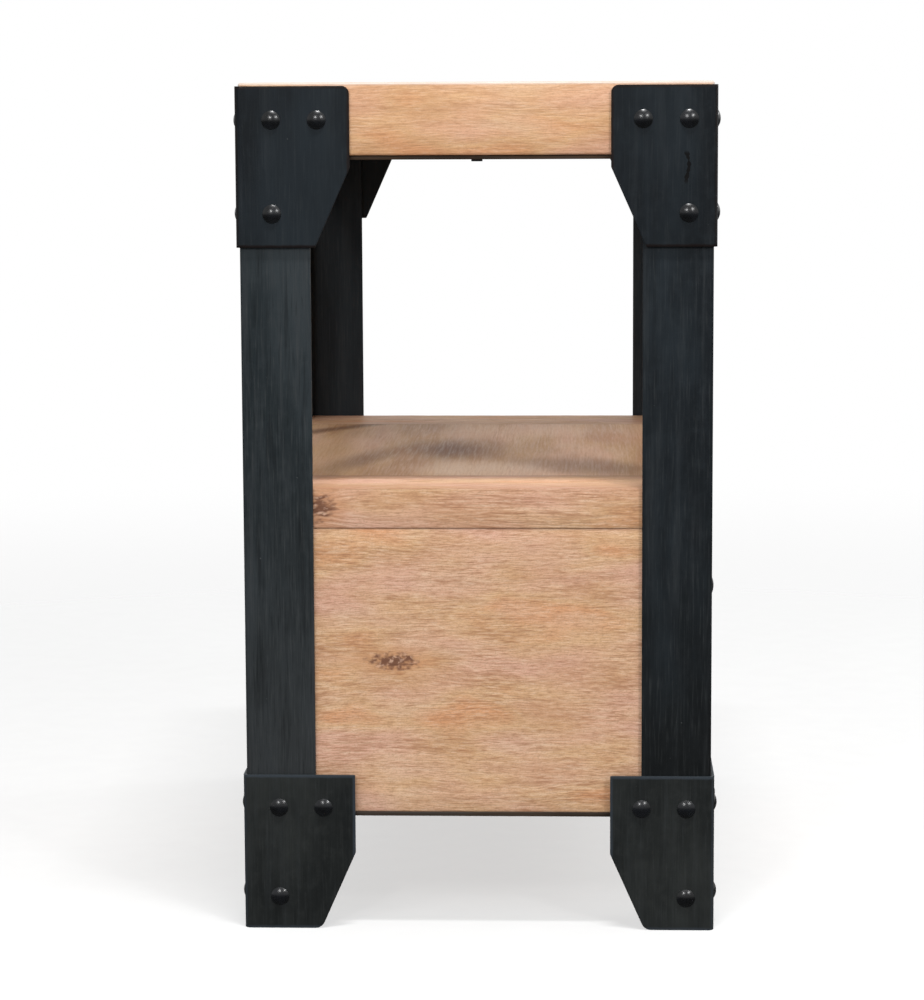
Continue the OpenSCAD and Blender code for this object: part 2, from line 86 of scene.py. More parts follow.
class Tree:
    """Short-hand for building the nodes of a material or world."""

    def __init__(self, owner):
        owner.use_nodes = True
        self.nodes = owner.node_tree.nodes
        self.links = owner.node_tree.links
        self.nodes.clear()

    def put(self, socket, value):
        """Sets an input to a number or vector, or links it to another node's output."""
        if isinstance(value, bpy.types.NodeSocket):
            self.links.new(value, socket)
        else:
            socket.default_value = value

    def math(self, operation, a, b=0.0):
        node = self.nodes.new("ShaderNodeMath")
        node.operation = operation
        self.put(node.inputs[0], a)
        self.put(node.inputs[1], b)
        return node.outputs[0]

    def add(self, a, b):
        return self.math("ADD", a, b)

    def sub(self, a, b):
        return self.math("SUBTRACT", a, b)

    def mul(self, a, b):
        return self.math("MULTIPLY", a, b)

    def smooth(self, value, low, high, to_low=0.0, to_high=1.0):
        """A smooth step from to_low at low to to_high at high."""
        node = self.nodes.new("ShaderNodeMapRange")
        node.interpolation_type = "SMOOTHSTEP"
        for socket, number in zip(node.inputs[:5], (value, low, high, to_low, to_high)):
            self.put(socket, number)
        return node.outputs[0]

    def vector(self, x, y, z):
        node = self.nodes.new("ShaderNodeCombineXYZ")
        for socket, value in zip(node.inputs, (x, y, z)):
            self.put(socket, value)
        return node.outputs[0]

    def position(self, output="Object"):
        """The surface point in the piece's own space as x, y, z, or its direction with output="Normal"."""
        coordinates = self.nodes.new("ShaderNodeTexCoord")
        split = self.nodes.new("ShaderNodeSeparateXYZ")
        self.links.new(coordinates.outputs[output], split.inputs[0])
        return list(split.outputs)

    def noise(self, x, y, z, detail=2.0, roughness=0.5):
        """Noise from 0 to 1 at a point whose coordinates are already scaled."""
        node = self.nodes.new("ShaderNodeTexNoise")
        node.inputs["Scale"].default_value = 1.0
        node.inputs["Detail"].default_value = detail
        node.inputs["Roughness"].default_value = roughness
        self.put(node.inputs["Vector"], self.vector(x, y, z))
        return node.outputs["Fac"]

    def cells(self, value, seed):
        """A steady random number from 0 to 1 for each whole number in value."""
        node = self.nodes.new("ShaderNodeTexWhiteNoise")
        node.noise_dimensions = "1D"
        self.put(node.inputs["W"], self.add(self.math("FLOOR", value), seed))
        return node.outputs["Value"]

    def mix(self, factor, a, b, blend="MIX"):
        node = self.nodes.new("ShaderNodeMix")
        node.data_type = "RGBA"
        node.blend_type = blend
        self.put(node.inputs[0], factor)
        self.put(node.inputs[6], a)
        self.put(node.inputs[7], b)
        return node.outputs[2]

    def ramp(self, value, stops):
        """A colour ramp through (place, colour) stops."""
        node = self.nodes.new("ShaderNodeValToRGB")
        elements = node.color_ramp.elements
        elements[0].position, elements[0].color = stops[0]
        elements[1].position, elements[1].color = stops[-1]
        for place, colour in stops[1:-1]:
            elements.new(place).color = colour
        self.put(node.inputs[0], value)
        return node.outputs[0]

    def edge_distance(self, low, high):
        """Distance from the surface to the nearest edge of a box with these corners."""
        a, b, c = [
            self.math("MINIMUM", self.sub(p, l), self.sub(h, p))
            for p, l, h in zip(self.position(), low, high)
        ]
        smaller = self.math("MINIMUM", a, b)
        larger = self.math("MAXIMUM", a, b)
        return self.math("MAXIMUM", smaller, self.math("MINIMUM", larger, c))


class Surface(Tree):
    """A material with one shader."""

    def __init__(self, name):
        self.material = bpy.data.materials.new(name)
        super().__init__(self.material)
        self.shader = self.nodes.new("ShaderNodeBsdfPrincipled")
        output = self.nodes.new("ShaderNodeOutputMaterial")
        self.links.new(self.shader.outputs["BSDF"], output.inputs["Surface"])

    def set(self, **inputs):
        """Sets inputs of the shader by name, with _ for a space."""
        for name, value in inputs.items():
            self.put(self.shader.inputs[name.replace("_", " ")], value)

    def bump(self, height, depth):
        """Height from 0 to 1, as a bump of that depth in metres."""
        node = self.nodes.new("ShaderNodeBump")
        node.inputs["Strength"].default_value = 1.0
        node.inputs["Distance"].default_value = depth
        self.put(node.inputs["Height"], height)
        self.set(Normal=node.outputs[0])


# ---- Materials ----

AXES = {"x": 0, "y": 1, "z": 2}
SAPWOOD = [
    (0.37, srgb(231, 182, 156)),
    (0.47, srgb(231, 185, 150)),
    (0.56, srgb(229, 186, 142)),
    (0.66, srgb(229, 168, 122)),
]
HEARTWOOD = [
    (0.36, srgb(231, 187, 154)),
    (0.46, srgb(224, 183, 144)),
    (0.54, srgb(218, 176, 130)),
    (0.66, srgb(198, 152, 110)),
]
TOP_SAPWOOD = [
    (0.37, srgb(233, 180, 148)),
    (0.47, srgb(231, 180, 140)),
    (0.56, srgb(230, 182, 134)),
    (0.66, srgb(228, 166, 118)),
]
DARK_STREAK = srgb(122, 83, 57)
PALE_STREAK = srgb(238, 208, 180)


def length_of(t, u, v):
    """Length of the vector (u, v)."""
    return t.math("SQRT", t.add(t.mul(u, u), t.mul(v, v)))


def oval(t, along, across, half_l, half_w):
    """Distance from the middle of an oval, 1 on its outline."""
    return length_of(t, t.mul(along, 1 / half_l), t.mul(across, 1 / half_w))


class Wood(Surface):
    """The grain of a board. It runs along one axis, and knots run through the board along another.
    straight draws it out and calms its waves."""

    def __init__(self, name, grain, through, seed, straight):
        super().__init__(name)
        self.grain_axis = AXES[grain]
        self.width_axis = 3 - AXES[grain] - AXES[through]
        point = self.position()
        self.along = point[self.grain_axis]
        self.across = point[self.width_axis]
        self.depth = point[AXES[through]]
        self.up = point[AXES["z"]]
        self.normal = self.position("Normal")
        self.seed = seed
        self.straight = straight
        self.shift = seed * 1.37

    def split_into_staves(self, start, stave):
        """Gives every glued strip its own stretch of grain, and returns a random number for each."""
        strip = self.math("DIVIDE", self.sub(self.across, start), stave)
        self.shift = self.add(self.mul(self.cells(strip, self.seed + 50.0), 5.0), self.shift)
        return self.cells(strip, self.seed)

    def grain_noise(self, along_scale, across_scale, detail=2.0, roughness=0.5, side=None):
        """Noise drawn out along the grain. side stands in for the place across the board."""
        side = self.across if side is None else side
        return self.noise(
            self.add(self.mul(self.along, along_scale / self.straight), self.shift),
            self.mul(side, across_scale),
            self.add(self.mul(self.depth, across_scale), self.seed * 0.61),
            detail, roughness,
        )

    def wave(self, along_scale, across_scale, size):
        """How far fibres wander off, within about half of size either way."""
        return self.mul(self.sub(self.grain_noise(along_scale, across_scale), 0.5), size / self.straight)


def fibres(t, knots):
    """Where the fibre at each point starts across the board, and how far that is in a knot and in the
    halo round one. Fibres wander a little, and part around each knot."""
    fibre = t.add(t.across, t.wave(5.0, 9.0, 0.014))
    fibre = t.add(fibre, t.wave(30.0, 60.0, 0.0016))
    fibre = t.add(fibre, t.wave(150.0, 190.0, 0.0004))
    in_knot = 0.0
    in_halo = 0.0
    for place_along, place_across, half_l, half_w in knots:
        da = t.sub(t.along, place_along)
        dc = t.sub(t.across, place_across)
        distance = oval(t, da, dc, half_l, half_w)
        swirl = t.math("EXPONENT", t.mul(distance, -0.8))
        fibre = t.add(fibre, t.mul(t.mul(dc, swirl), 0.75))
        ragged = t.add(distance, t.mul(t.sub(t.grain_noise(280.0, 420.0, 3.0), 0.5), 2.2))
        in_knot = t.math("MAXIMUM", in_knot, t.smooth(ragged, 0.35, 1.25, 1.0, 0.0))
        ragged = t.add(distance, t.grain_noise(60.0, 90.0))
        in_halo = t.math("MAXIMUM", in_halo, t.smooth(ragged, 1.0, 3.2, 0.6, 0.0))
    return fibre, in_knot, in_halo


def growth_bands(t, fibre, broad, hue, palette):
    """The palette in broad bands, with softer tones and the growth rings around a pith below."""
    tone = t.grain_noise(18.0, 50.0, 3.0, 0.5, t.add(fibre, 0.7))
    radius = length_of(t, t.add(fibre, 0.11 + 0.013 * t.seed), t.add(t.depth, 0.19))
    rings = t.smooth(t.math("SINE", t.add(t.mul(radius, 620.0), t.mul(broad, 10.0))), 0.1, 1.0)
    colour = t.ramp(hue, palette)
    colour = t.mix(t.smooth(tone, 0.50, 0.72, 0.0, 0.45), colour, srgb(200, 146, 102))
    colour = t.mix(t.smooth(tone, 0.28, 0.48, 0.35, 0.0), colour, srgb(240, 206, 176))
    return t.mix(t.mul(rings, 0.10), colour, srgb(168, 118, 84))


def streaked(t, colour, fibre, broad, streaks):
    """Broad stains that follow the fibres at a slope, with ragged outlines."""
    for place_along, place_across, half_l, half_w, slope, strength, streak_colour in streaks:
        da = t.sub(t.along, place_along)
        dc = t.sub(t.sub(fibre, place_across), t.mul(da, slope))
        ragged = t.add(oval(t, da, dc, half_l, half_w), t.sub(broad, 0.5))
        colour = t.mix(t.smooth(ragged, 0.1, 1.25, strength, 0.0), colour, streak_colour)
    return colour


def fine_lines(t, colour, fibre, strokes, fine, contrast):
    """Contour lines, dark and pale strokes, hair-fine lines and grit, in clusters."""
    clusters = t.grain_noise(22.0, 60.0, 2.0, 0.5, t.add(fibre, 0.3))
    contours = t.grain_noise(20.0, 330.0, 2.0, 0.5, fibre)
    grit = t.grain_noise(900.0, 1500.0, 1.0)
    strength = t.mul(t.smooth(clusters, 0.35, 0.65, 0.16, 0.46), contrast)
    contour = t.smooth(t.math("ABSOLUTE", t.sub(contours, 0.5)), 0.005, 0.045, 1.0, 0.0)
    colour = t.mix(t.mul(contour, strength), colour, srgb(170, 114, 74))
    dark_strokes = t.mul(t.smooth(strokes, 0.50, 0.66), t.mul(strength, 0.9))
    colour = t.mix(dark_strokes, colour, srgb(168, 114, 78))
    pale_strokes = t.mul(t.smooth(strokes, 0.34, 0.48, 1.0, 0.0), t.mul(strength, 0.8))
    colour = t.mix(pale_strokes, colour, srgb(246, 214, 182))
    colour = t.mix(t.smooth(fine, 0.48, 0.70, 0.0, 0.42 * contrast), colour, srgb(160, 108, 74))
    colour = t.mix(t.smooth(fine, 0.30, 0.48, 0.34 * contrast, 0.0), colour, srgb(250, 222, 194))
    return t.mix(t.smooth(grit, 0.50, 0.70, 0.0, 0.28 * contrast), colour, srgb(166, 116, 84))


def knotted(t, colour, in_knot, in_halo):
    """Flecked knots in darker halos."""
    colour = t.mix(in_halo, colour, srgb(206, 146, 100))
    flecks = t.smooth(t.grain_noise(320.0, 420.0, 2.0), 0.50, 0.72)
    return t.mix(in_knot, colour, t.mix(flecks, srgb(126, 84, 62), srgb(212, 172, 146)))


def end_grain_and_edge_light(t, colour, strokes, outline, arris_highlight_or_shade, painted_edge_shade):
    """End grain that drank more oil, painted shade darkening an upper face at its edges, and painted light
    on the arrises.
    """
    end_grain = t.smooth(t.math("ABSOLUTE", t.normal[t.grain_axis]), 0.6, 0.9)
    colour = t.mix(t.mul(end_grain, 0.55), colour, srgb(166, 118, 82), "MULTIPLY")
    edge = t.edge_distance(*outline)
    # Painted shade: the upper face darkens over its last 26 mm towards its edges.
    if painted_edge_shade:
        near_edge = t.smooth(edge, 0.0, 0.026, 1.0, 0.0)
        upper_face = t.smooth(t.normal[AXES["z"]], 0.2, 0.6, 0.0, painted_edge_shade)
        colour = t.mix(t.mul(near_edge, upper_face), colour, srgb(164, 114, 80))
    ragged = t.add(edge, t.mul(t.sub(strokes, 0.5), 0.0006))
    # Painted light on the arrises: a positive value paints a pale highlight along the upper arrises, where
    # light from above catches them; a negative one darkens every arris, painting shade into the seams
    # between boards.
    if arris_highlight_or_shade > 0:
        top = outline[1].z
        upper_edge = t.smooth(t.up, top - 0.01, top - 0.004, 0.0, arris_highlight_or_shade)
        painted_arris_highlight = t.mul(t.smooth(ragged, 0.0002, 0.0024, 1.0, 0.0), upper_edge)
        return t.mix(painted_arris_highlight, colour, srgb(208, 198, 190))
    return t.mix(t.smooth(ragged, 0.0002, 0.0014, -arris_highlight_or_shade, 0.0), colour, srgb(92, 62, 44))


def glue_lines(t, colour, start, stave):
    """Thin dark lines between the glued strips."""
    place = t.math("PINGPONG", t.sub(t.across, start), stave)
    distance = t.math("MINIMUM", place, t.sub(stave, place))
    return t.mix(t.smooth(distance, 0.0, 0.00035, 0.35, 0.0), colour, srgb(120, 84, 58))


def wood(
    name, grain, through, low, high, seed,
    staves=1, palette=SAPWOOD, knots=(), streaks=(), straight=1.0, contrast=1.0, arris_highlight_or_shade=-0.5, painted_edge_shade=0.0,
    outline=None,
):
    """Brushed, oiled hardwood, for a board with these lowest and highest corners. It is glued up from
    that many staves. A knot is (along, across, half length, half width), and a streak is (along,
    across, half length, half width, slope, strength, colour). contrast is that of the fine lines.
    arris_highlight_or_shade is how pale a painted highlight on the upper arrises is, or how dark all
    arrises are if negative, as painted shade in the seams. painted_edge_shade is how far painted
    shade darkens the upper face towards its edges. outline is the box (low, high) whose edges those
    are, where it isn't the board's own."""
    t = Wood(name, grain, through, seed, straight)
    start = low[t.width_axis]
    stave = (high[t.width_axis] - start) / staves
    if staves > 1:
        strip_tone = t.split_into_staves(start, stave)
    fibre, in_knot, in_halo = fibres(t, knots)
    hue = broad = t.grain_noise(12.0, 30.0, 2.0, 0.5, fibre)
    if staves > 1:
        hue = t.add(broad, t.mul(t.sub(strip_tone, 0.5), 0.16))
    strokes = t.grain_noise(75.0, 800.0, 2.0, 0.55, fibre)
    fine = t.grain_noise(190.0, 1350.0, 2.0, 0.65, fibre)

    colour = growth_bands(t, fibre, broad, hue, palette)
    colour = streaked(t, colour, fibre, broad, streaks)
    colour = fine_lines(t, colour, fibre, strokes, fine, contrast)
    if knots:
        colour = knotted(t, colour, in_knot, in_halo)
    colour = end_grain_and_edge_light(t, colour, strokes, outline or (low, high), arris_highlight_or_shade, painted_edge_shade)
    if staves > 1:
        colour = glue_lines(t, colour, start, stave)

    t.set(Base_Color=colour, Roughness=t.smooth(strokes, 0.3, 0.7, 0.44, 0.60), IOR=1.48)
    t.bump(t.add(t.mul(strokes, 0.6), t.mul(fine, 0.4)), 0.00022)
    return t.material


def scratch(t, y, z, place, bottom, top):
    """1 inside a wavering scratch of uneven width that runs up a face at this y, and 0 elsewhere."""
    bend = t.mul(t.math("SINE", t.mul(z, 330.0)), 0.0008)
    offset = t.math("ABSOLUTE", t.sub(t.sub(y, place), bend))
    width = t.smooth(t.noise(0.0, 0.0, t.mul(z, 300.0), 2.0), 0.3, 0.7, 0.0003, 0.0016)
    inside = t.mul(t.smooth(z, bottom, bottom + 0.004), t.smooth(z, top - 0.003, top, 1.0, 0.0))
    return t.mul(t.math("LESS_THAN", offset, width), inside)


def painted_steel(
    name, dark, light, along="z", brushed=0.3, footing=0.0, gouge=None, rim=None,
):
    """Powder coat over brushed sheet, cloudy between two colours. brushed is how far its fine lines
    show, along one axis. footing is how far the coat loses its blue and lightens, or darkens if
    negative, towards the floor. gouge is (y, lowest z, highest z) of one long scratch, and rim (box
    low, box high, colour) of a band of painted light along the outer edges in that colour."""
    t = Surface(name)
    point = t.position()
    y, z = point[1:]

    def noise_at(along_scale, across_scale, detail, roughness=0.5):
        scales = [along_scale if axis == along else across_scale for axis in "xyz"]
        return t.noise(*[t.mul(p, scale) for p, scale in zip(point, scales)], detail, roughness)

    lines = noise_at(45.0, 1000.0, 3.0, 0.6)
    bands = noise_at(9.0, 170.0, 3.0, 0.6)
    cloud = noise_at(9.0, 26.0, 4.0, 0.55)
    blotch = noise_at(140.0, 160.0, 3.0, 0.6)
    grit = noise_at(2600.0, 2600.0, 1.0)

    colour = t.mix(t.smooth(cloud, 0.35, 0.70), dark, light)
    colour = t.mix(t.smooth(blotch, 0.45, 0.75, 0.0, 0.35), colour, light)
    if footing:
        tint = srgb(52, 51, 50) if footing > 0 else srgb(17, 19, 19)
        near_floor = t.smooth(t.add(z, t.mul(cloud, 0.15)), 0.05, 0.42, abs(footing), 0.0)
        colour = t.mix(near_floor, colour, tint)
    colour = t.mix(t.smooth(bands, 0.48, 0.72, 0.0, brushed), colour, srgb(58, 62, 65))
    colour = t.mix(t.smooth(bands, 0.30, 0.48, brushed, 0.0), colour, srgb(14, 18, 21))
    colour = t.mix(t.smooth(lines, 0.50, 0.74, 0.0, brushed), colour, srgb(66, 69, 70))
    colour = t.mix(t.smooth(lines, 0.28, 0.46, 0.8 * brushed, 0.0), colour, srgb(12, 15, 17))
    specks = t.smooth(noise_at(420.0, 420.0, 1.0), 0.80, 0.84)
    colour = t.mix(t.mul(specks, 0.4), colour, srgb(96, 98, 98))
    # Painted light: a band along the box's outer edges in the rim colour, a highlight where it is pale,
    # and shade with reflected wood where it is dark brown.
    if rim:
        low, high, edge_light_colour = rim
        ragged = t.add(t.edge_distance(low, high), t.mul(t.sub(blotch, 0.5), 0.0012))
        colour = t.mix(t.smooth(ragged, 0.0008, 0.0021, 0.9, 0.0), colour, edge_light_colour)
    if gouge:
        colour = t.mix(scratch(t, y, z, *gouge), colour, srgb(3, 3, 4))
    t.set(Base_Color=colour, Roughness=t.smooth(blotch, 0.3, 0.7, 0.44, 0.54))
    t.set(IOR=1.45, Specular_IOR_Level=0.30)
    t.bump(t.add(t.mul(lines, 0.6), t.mul(grit, 0.4)), 0.00004)
    return t.material


def gloss_black(name):
    """Lacquered black heads and knob, with faint dust in the gloss."""
    t = Surface(name)
    x, y, z = t.position()
    dust = t.noise(t.mul(x, 700.0), t.mul(y, 700.0), t.mul(z, 700.0), 3.0, 0.6)
    blotch = t.noise(t.mul(x, 120.0), t.mul(y, 120.0), t.mul(z, 120.0), 2.0)
    colour = t.mix(t.smooth(blotch, 0.35, 0.65), srgb(8, 10, 13), srgb(17, 20, 25))
    t.set(Base_Color=colour, Roughness=t.smooth(dust, 0.3, 0.7, 0.24, 0.30), IOR=1.75)
    t.bump(dust, 0.000008)
    return t.material


def zinc(name):
    """Zinc-plated sheet and screws, faintly mottled, with drawn lines along Y."""
    t = Surface(name)
    x, y, z = t.position()
    lines = t.noise(t.mul(x, 1600.0), t.mul(y, 60.0), t.mul(z, 1600.0), 2.0, 0.6)
    mottle = t.noise(t.mul(x, 220.0), t.mul(y, 220.0), t.mul(z, 220.0), 3.0)
    colour = t.mix(t.smooth(mottle, 0.35, 0.7), srgb(176, 178, 182), srgb(206, 206, 204))
    t.set(Base_Color=colour, Roughness=t.smooth(lines, 0.3, 0.7, 0.26, 0.42), Metallic=1.0)
    t.bump(lines, 0.00003)
    return t.material


def pale_floor(name):
    """A thin white floor over the white backdrop, which it fades into far from the table."""
    t = Surface(name)
    x, y, z = t.position()
    speckle = t.noise(t.mul(x, 40.0), t.mul(y, 40.0), z, 3.0)
    t.set(Base_Color=t.mix(speckle, srgb(244, 244, 244), srgb(250, 250, 250)), Roughness=0.9)
    t.set(Specular_IOR_Level=0.0, Alpha=t.smooth(length_of(t, x, y), 0.5, 2.0, 0.4, 0.0))
    return t.material


# ---- Mesh helpers ----

def piece_from(bm, name, material, body, nodes):
    """Turns a bmesh into a piece that stands for CAD nodes."""
    bmesh.ops.recalc_face_normals(bm, faces=bm.faces)
    mesh = bpy.data.meshes.new(name)
    bm.to_mesh(mesh)
    bm.free()
    mesh.materials.append(material)
    piece = bpy.data.objects.new(name, mesh)
    bpy.context.scene.collection.objects.link(piece)
    mesh.shade_smooth()
    mesh.set_sharp_from_angle(angle=math.radians(35))
    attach(piece, body)
    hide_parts(*nodes)


def body_of(node):
    behaviour = frame["record"]["behaviour"]["bodies"]
    return next(body for body, members in behaviour.items() if node in members)


def bevel_sharp(bm, width, segments=2, angle=40):
    """Rounds every edge that turns by more than the angle, in degrees."""
    sharp = [
        e for e in bm.edges
        if len(e.link_faces) == 2 and e.calc_face_angle(0.0) > math.radians(angle)
    ]
    bmesh.ops.bevel(
        bm, geom=sharp, offset=width, offset_type="OFFSET", segments=segments, profile=0.5,
        affect="EDGES", clamp_overlap=True,
    )


def cut_end(bm, x, side):
    """Cuts off what lies beyond x, on the side with this sign, and closes the cut."""
    geometry = bm.verts[:] + bm.edges[:] + bm.faces[:]
    cut = bmesh.ops.bisect_plane(
        bm, geom=geometry, plane_co=(x, 0, 0), plane_no=(side, 0, 0), clear_outer=True,
    )
    rim = [e for e in cut["geom_cut"] if isinstance(e, bmesh.types.BMEdge)]
    bmesh.ops.contextual_create(bm, geom=rim)


def round_end(bm, side, radius):
    """Rounds the upper edge along Y at the end of a plain box that has this sign."""
    end_x = max(v.co.x * side for v in bm.verts)
    top_z = max(v.co.z for v in bm.verts)
    edge = [
        e for e in bm.edges
        if all(abs(v.co.x * side - end_x) < 1e-6 and abs(v.co.z - top_z) < 1e-6 for v in e.verts)
    ]
    bmesh.ops.bevel(
        bm, geom=edge, offset=radius, offset_type="OFFSET", segments=8, profile=0.5, affect="EDGES",
    )


def board_mesh(low, high, arris, joints=(), rounded=(), wobble=0.18 * MM, step=0.012):
    """A sawn board with softened arrises that waver slightly, as sanding leaves them.
    joints has the signs of X of the ends that butt against another board, where the edges stay
    crisp, and rounded those of the ends whose upper edge is well rounded. wobble is how far the
    arrises waver, and step the distance between the cuts that let them."""
    start, end = Vector(low), Vector(high)
    if -1 in joints:
        start.x -= 4 * arris
    if 1 in joints:
        end.x += 4 * arris
    centre = (start + end) / 2
    bm = bmesh.new()
    size = Matrix.Diagonal((*(end - start), 1.0))
    bmesh.ops.create_cube(bm, size=1.0, matrix=Matrix.Translation(centre) @ size)
    for side in rounded:
        round_end(bm, side, SHELF_EDGE_R)
    bevel_sharp(bm, arris, segments=3)
    for side in joints:
        cut_end(bm, (low if side < 0 else high).x, side)
    if joints:
        bevel_sharp(bm, JOINT_ARRIS, segments=1)
    for axis in range(3):
        extent = high[axis] - low[axis]
        cuts = int(extent / step)
        normal = Vector([1.0 if i == axis else 0.0 for i in range(3)])
        for k in range(1, cuts):
            place = normal * (low[axis] + extent * k / cuts)
            geometry = bm.verts[:] + bm.edges[:] + bm.faces[:]
            bmesh.ops.bisect_plane(bm, geom=geometry, plane_co=place, plane_no=normal)
    bm.normal_update()
    for v in bm.verts:
        depths = sorted(min(v.co[i] - start[i], end[i] - v.co[i]) for i in range(3))
        if depths[1] < 2.0 * arris:
            v.co -= v.normal * wobble * (0.5 + 0.5 * noise.noise(v.co * 90.0))
    return bm


def lathe(profile, segments=32):
    """A closed solid turned about Z from (radius, height) points; the first and last are on the axis."""
    bm = bmesh.new()
    rings = []
    for radius, height in profile[1:-1]:
        ring = []
        for k in range(segments):
            a = 2 * math.pi * k / segments
            ring.append(bm.verts.new((radius * math.cos(a), radius * math.sin(a), height)))
        rings.append(ring)
    start = bm.verts.new((0, 0, profile[0][1]))
    end = bm.verts.new((0, 0, profile[-1][1]))
    for k in range(segments):
        j = (k + 1) % segments
        bm.faces.new((start, rings[0][j], rings[0][k]))
        bm.faces.new((end, rings[-1][k], rings[-1][j]))
        for lower, upper in zip(rings, rings[1:]):
            bm.faces.new((lower[k], lower[j], upper[j], upper[k]))
    return bm


def islands(node):
    """(lowest, highest) corners of each separate solid of a CAD node."""
    bm = bmesh.new()
    bm.from_mesh(frame["nodes"][node].data)
    bmesh.ops.remove_doubles(bm, verts=bm.verts, dist=1e-6)
    left = set(bm.verts)
    found = []
    while left:
        group = [left.pop()]
        for v in group:
            for e in v.link_edges:
                other = e.other_vert(v)
                if other in left:
                    left.remove(other)
                    group.append(other)
        low = Vector([min(v.co[i] for v in group) for i in range(3)])
        high = Vector([max(v.co[i] for v in group) for i in range(3)])
        found.append((low, high))
    bm.free()
    return sorted(found, key=lambda box: tuple(round(c, 5) for c in (*box[0], *box[1])))


def copies(model, places, name, material, node):
    """One piece holding a copy of a bmesh at each place."""
    template = bpy.data.meshes.new(name + "_template")
    model.to_mesh(template)
    model.free()
    bm = bmesh.new()
    for place in places:
        first = len(bm.verts)
        bm.from_mesh(template)
        bm.verts.ensure_lookup_table()
        bmesh.ops.transform(bm, matrix=place, verts=bm.verts[first:])
    bpy.data.meshes.remove(template)
    piece_from(bm, name, material, body_of(node), [node])


# ---- Steel pieces ----

def corner_signs(node):
    """Which corner of the table a leg or bracket stands at: the signs of its X and Y."""
    low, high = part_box(node)
    return (1 if low.x + high.x > 0 else -1), (1 if low.y + high.y > 0 else -1)


def leg_piece(node, material):
    """Angle steel with a rounded outer corner and dressed edges."""
    low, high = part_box(node)
    sx, sy = corner_signs(node)
    width = high.x - low.x
    arc = [
        (LEG_CORNER * (1 - math.cos(a)), LEG_CORNER * (1 - math.sin(a)))
        for a in (math.pi / 2 * k / 4 for k in range(5))
    ]
    outline = arc[::-1] + [(0, width), (LEG_T, width), (LEG_T, LEG_T), (width, LEG_T), (width, 0)]
    corner = Vector((high.x if sx > 0 else low.x, high.y if sy > 0 else low.y, 0))
    bm = bmesh.new()
    loops = [
        [bm.verts.new((corner.x - sx * u, corner.y - sy * v, z)) for u, v in outline]
        for z in (low.z, high.z)
    ]
    bm.faces.new(loops[0])
    bm.faces.new(loops[1])
    for k in range(len(outline)):
        j = (k + 1) % len(outline)
        bm.faces.new((loops[0][k], loops[0][j], loops[1][j], loops[1][k]))
    bevel_sharp(bm, STEEL_ARRIS)
    piece_from(bm, "shaped_" + node, material, body_of(node), [node])


def bracket_columns(width, height, start, free_r, slant_r):
    """(s, lowest, highest) of a flange's columns, where s runs along it from the bend to the free
    edge. free_r rounds the free upper corner, and slant_r the one between the lower edge and the
    slanted one."""
    foot = width - SLANT_RUN
    knee = height - UPRIGHT_H
    slope = knee / SLANT_RUN
    turn = math.atan(slope)
    tangent = slant_r * math.tan(turn / 2)
    free_corner = [width - free_r + free_r * math.sin(math.pi / 2 * k / 6) for k in range(7)]
    lower_corner = [foot - tangent + slant_r * math.sin(turn * k / 5) for k in range(6)]
    stations = [start, start + (foot - start) / 2, foot + SLANT_RUN * 0.6]
    columns = []
    for s in sorted(stations + free_corner + lower_corner):
        into = s - foot + tangent
        if into <= 0:
            bottom = 0.0
        elif into < slant_r * math.sin(turn):
            bottom = slant_r - math.sqrt(slant_r**2 - into**2)
        else:
            bottom = slope * (s - foot)
        drop = free_r - math.sqrt(max(0.0, free_r**2 - max(0.0, s - width + free_r) ** 2))
        columns.append((s, bottom, height - drop))
    return columns


def bracket_stations(node, free_r, slant_r):
    """(place, lowest, highest) of a bracket's columns, from the free edge of its flange along X round
    the bend to the free edge of the other. place(offset, z) is a point that far in from the outer
    face and up from the bracket's lower edge."""
    low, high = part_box(node)
    sx, sy = corner_signs(node)
    size = high - low
    bend = LEG_CORNER + PLATE_T
    corner = Vector((high.x if sx > 0 else low.x, high.y if sy > 0 else low.y, low.z))

    def point(u, v, z):
        return (corner.x - sx * u, corner.y - sy * v, corner.z + z)

    def along_x(s):
        return lambda offset, z: point(s, offset, z)

    def along_y(s):
        return lambda offset, z: point(offset, s, z)

    def round_bend(angle):
        def place(offset, z):
            radius = bend - offset
            return point(bend - radius * math.sin(angle), bend - radius * math.cos(angle), z)
        return place

    stations = []
    for s, bottom, top in reversed(bracket_columns(size.x, size.z, bend, free_r, slant_r)):
        stations.append((along_x(s), bottom, top))
    for k in range(1, 6):
        stations.append((round_bend(math.pi / 2 * k / 6), 0.0, size.z))
    for s, bottom, top in bracket_columns(size.y, size.z, bend, free_r, slant_r):
        stations.append((along_y(s), bottom, top))
    return stations


def plate_mesh(stations):
    """A closed bent plate through these columns, and its lower edge on the outer face."""
    bm = bmesh.new()
    grid = {}
    rows = (0.0, 0.02, 0.35, 0.65, 0.98, 1.0)
    for i, (place, bottom, top) in enumerate(stations):
        for j, share in enumerate(rows):
            for side, offset in enumerate((0.0, PLATE_T)):
                grid[i, j, side] = bm.verts.new(place(offset, bottom + (top - bottom) * share))

    def face(*corners):
        bm.faces.new([grid[corner] for corner in corners])

    last_i = len(stations) - 1
    last_j = len(rows) - 1
    for i in range(last_i):
        for j in range(last_j):
            for side in (0, 1):
                face((i, j, side), (i + 1, j, side), (i + 1, j + 1, side), (i, j + 1, side))
        for j in (0, last_j):
            face((i, j, 0), (i + 1, j, 0), (i + 1, j, 1), (i, j, 1))
    for j in range(last_j):
        for i in (0, last_i):
            face((i, j, 0), (i, j + 1, 0), (i, j + 1, 1), (i, j, 1))
    bmesh.ops.recalc_face_normals(bm, faces=bm.faces)
    lower_edge = [bm.edges.get((grid[i, 0, 0], grid[i + 1, 0, 0])) for i in range(last_i)]
    return bm, lower_edge


